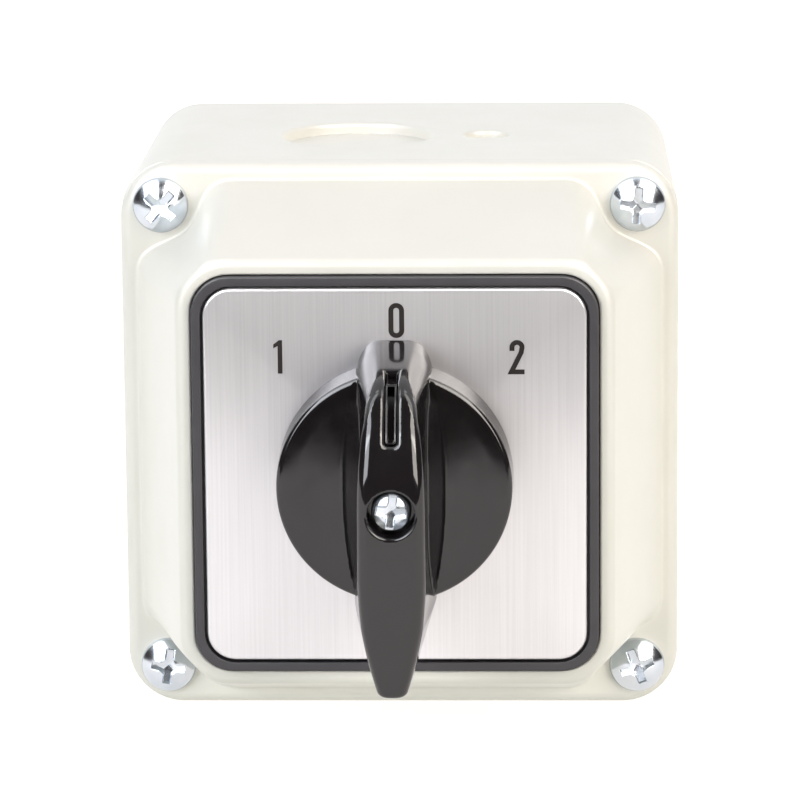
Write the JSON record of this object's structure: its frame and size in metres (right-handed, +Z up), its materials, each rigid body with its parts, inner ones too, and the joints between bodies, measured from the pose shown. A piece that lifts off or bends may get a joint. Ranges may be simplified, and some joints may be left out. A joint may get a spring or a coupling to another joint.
{
  "type": "manual transfer switch",
  "caption": "Rotary change-over switch with a lever handle for three positions, in a square surface-mounted enclosure with a raised front.",
  "frame": {"origin": "centre of the back mounting face", "axes": "+X right as seen from the front, +Y from the front to the wall, +Z up"},
  "size_m": [0.09, 0.118, 0.09],
  "materials": {
    "enclosure_plastic": "fine-grained moulded ABS, off-white",
    "gloss_black": "high gloss moulded plastic",
    "satin_black": "satin moulded plastic",
    "brushed_plate": "vertical brushing, polished edge",
    "zinc_plate": "bright blue-white zinc plating",
    "steel": "machined",
    "brass": "stamped",
    "silver": "silver plated",
    "rubber": "matt",
    "nylon": "natural",
    "red_plastic": "moulded"
  },
  "bodies": {
    "root": {"enclosure_base": "enclosure_plastic", "enclosure_cover": "enclosure_plastic", "cover_gasket": "rubber", "cover_screws": "zinc_plate", "escutcheon_frame": "satin_black", "face_plate": "brushed_plate", "escutcheon_screws": "zinc_plate", "shaft_seal": "rubber", "mounting_plate": "satin_black", "detent_housing": "nylon", "detent_spring_top": "steel", "detent_spring_bottom": "steel", "tie_bolts": "zinc_plate", "tie_nuts": "zinc_plate", "end_cover": "satin_black", "deck_1_housing": "satin_black", "deck_1_terminals": "brass", "deck_1_terminal_screws": "zinc_plate", "deck_1_spring_top": "steel", "deck_1_spring_bottom": "steel", "deck_2_housing": "nylon", "deck_2_terminals": "brass", "deck_2_terminal_screws": "zinc_plate", "deck_2_spring_top": "steel", "deck_2_spring_bottom": "steel", "deck_3_housing": "satin_black", "deck_3_terminals": "brass", "deck_3_terminal_screws": "zinc_plate", "deck_3_spring_top": "steel", "deck_3_spring_bottom": "steel"},
    "rotor": {"handle": "gloss_black", "pointer_insert": "gloss_black", "handle_screw": "zinc_plate", "shaft": "steel", "stop_plate": "steel", "detent_wheel": "red_plastic", "deck_1_cam": "red_plastic", "deck_2_cam": "red_plastic", "deck_3_cam": "red_plastic"},
    "deck_1_contact_top": {"deck_1_plunger_top": "nylon", "deck_1_bridge_top": "silver"},
    "deck_1_contact_bottom": {"deck_1_plunger_bottom": "nylon", "deck_1_bridge_bottom": "silver"},
    "deck_2_contact_top": {"deck_2_plunger_top": "nylon", "deck_2_bridge_top": "silver"},
    "deck_2_contact_bottom": {"deck_2_plunger_bottom": "nylon", "deck_2_bridge_bottom": "silver"},
    "deck_3_contact_top": {"deck_3_plunger_top": "nylon", "deck_3_bridge_top": "silver"},
    "deck_3_contact_bottom": {"deck_3_plunger_bottom": "nylon", "deck_3_bridge_bottom": "silver"},
    "detent_slider_top": {"detent_slider_top": "nylon"},
    "detent_slider_bottom": {"detent_slider_bottom": "nylon"}
  },
  "joints": [
    {"name": "handle_turn", "type": "hinge", "parent": "root", "child": "rotor", "pos_m": [0, -0.0924, 0], "axis": [0, 1, 0], "range_deg": [-45, 45]},
    {"name": "deck_1_contact_top_slide", "type": "slide", "parent": "root", "child": "deck_1_contact_top", "axis": [0, 0, 1], "range_m": [-0.00121, 0.00121], "deforming": ["deck_1_spring_top"]},
    {"name": "deck_1_contact_bottom_slide", "type": "slide", "parent": "root", "child": "deck_1_contact_bottom", "axis": [0, 0, 1], "range_m": [-0.00121, 0.00121], "deforming": ["deck_1_spring_bottom"]},
    {"name": "deck_2_contact_top_slide", "type": "slide", "parent": "root", "child": "deck_2_contact_top", "axis": [0, 0, 1], "range_m": [-0.00121, 0.00121], "deforming": ["deck_2_spring_top"]},
    {"name": "deck_2_contact_bottom_slide", "type": "slide", "parent": "root", "child": "deck_2_contact_bottom", "axis": [0, 0, 1], "range_m": [-0.00121, 0.00121], "deforming": ["deck_2_spring_bottom"]},
    {"name": "deck_3_contact_top_slide", "type": "slide", "parent": "root", "child": "deck_3_contact_top", "axis": [0, 0, 1], "range_m": [-0.00121, 0.00121], "deforming": ["deck_3_spring_top"]},
    {"name": "deck_3_contact_bottom_slide", "type": "slide", "parent": "root", "child": "deck_3_contact_bottom", "axis": [0, 0, 1], "range_m": [-0.00121, 0.00121], "deforming": ["deck_3_spring_bottom"]},
    {"name": "detent_slider_top_slide", "type": "slide", "parent": "root", "child": "detent_slider_top", "axis": [0, 0, 1], "range_m": [0, 0.0006], "stiffness_N_per_m": 400, "springref_m": -0.003, "deforming": ["detent_spring_top"]},
    {"name": "detent_slider_bottom_slide", "type": "slide", "parent": "root", "child": "detent_slider_bottom", "axis": [0, 0, -1], "range_m": [0, 0.0006], "stiffness_N_per_m": 400, "springref_m": -0.003, "deforming": ["detent_spring_bottom"]}
  ],
  "couplings": [
    {"joint": "deck_1_contact_top_slide", "follows": "handle_turn", "m_per_rad": 0.0015279},
    {"joint": "deck_1_contact_bottom_slide", "follows": "handle_turn", "m_per_rad": 0.0015279},
    {"joint": "deck_2_contact_top_slide", "follows": "handle_turn", "m_per_rad": 0.0015279},
    {"joint": "deck_2_contact_bottom_slide", "follows": "handle_turn", "m_per_rad": 0.0015279},
    {"joint": "deck_3_contact_top_slide", "follows": "handle_turn", "m_per_rad": 0.0015279},
    {"joint": "deck_3_contact_bottom_slide", "follows": "handle_turn", "m_per_rad": 0.0015279}
  ]
}
